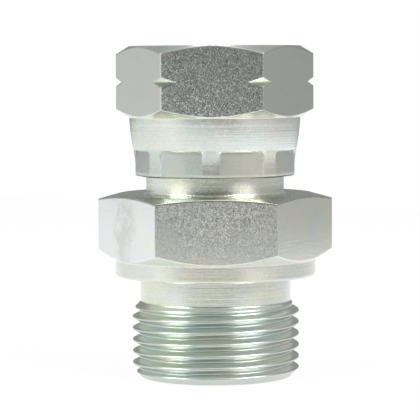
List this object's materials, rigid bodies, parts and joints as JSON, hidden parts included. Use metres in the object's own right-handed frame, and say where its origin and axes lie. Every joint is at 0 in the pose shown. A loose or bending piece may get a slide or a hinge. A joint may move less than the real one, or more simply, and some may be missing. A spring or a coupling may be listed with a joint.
{
  "type": "straight hydraulic fitting",
  "caption": "Straight hydraulic adapter: parallel pipe stud with a sealing collar at one end, crimped swivel nut over a coned nose at the other.",
  "frame": {"origin": "centre of the stud's end face, which the fitting stands on", "axes": "+Z along the axis from the stud to the swivel nut, -Y towards the front flat of the body's hexagon"},
  "size_m": [0.037, 0.032, 0.052],
  "materials": {
    "body_steel": "bright zinc plate over turned steel",
    "nut_steel": "bright zinc plate over turned steel"
  },
  "bodies": {
    "body": {"adapter_body": "body_steel"},
    "nut": {"swivel_nut": "nut_steel"}
  },
  "joints": [
    {"name": "nut_spin", "type": "hinge", "parent": "body", "child": "nut", "pos_m": [0, 0, 0.04], "axis": [0, 0, 1], "continuous": true}
  ]
}
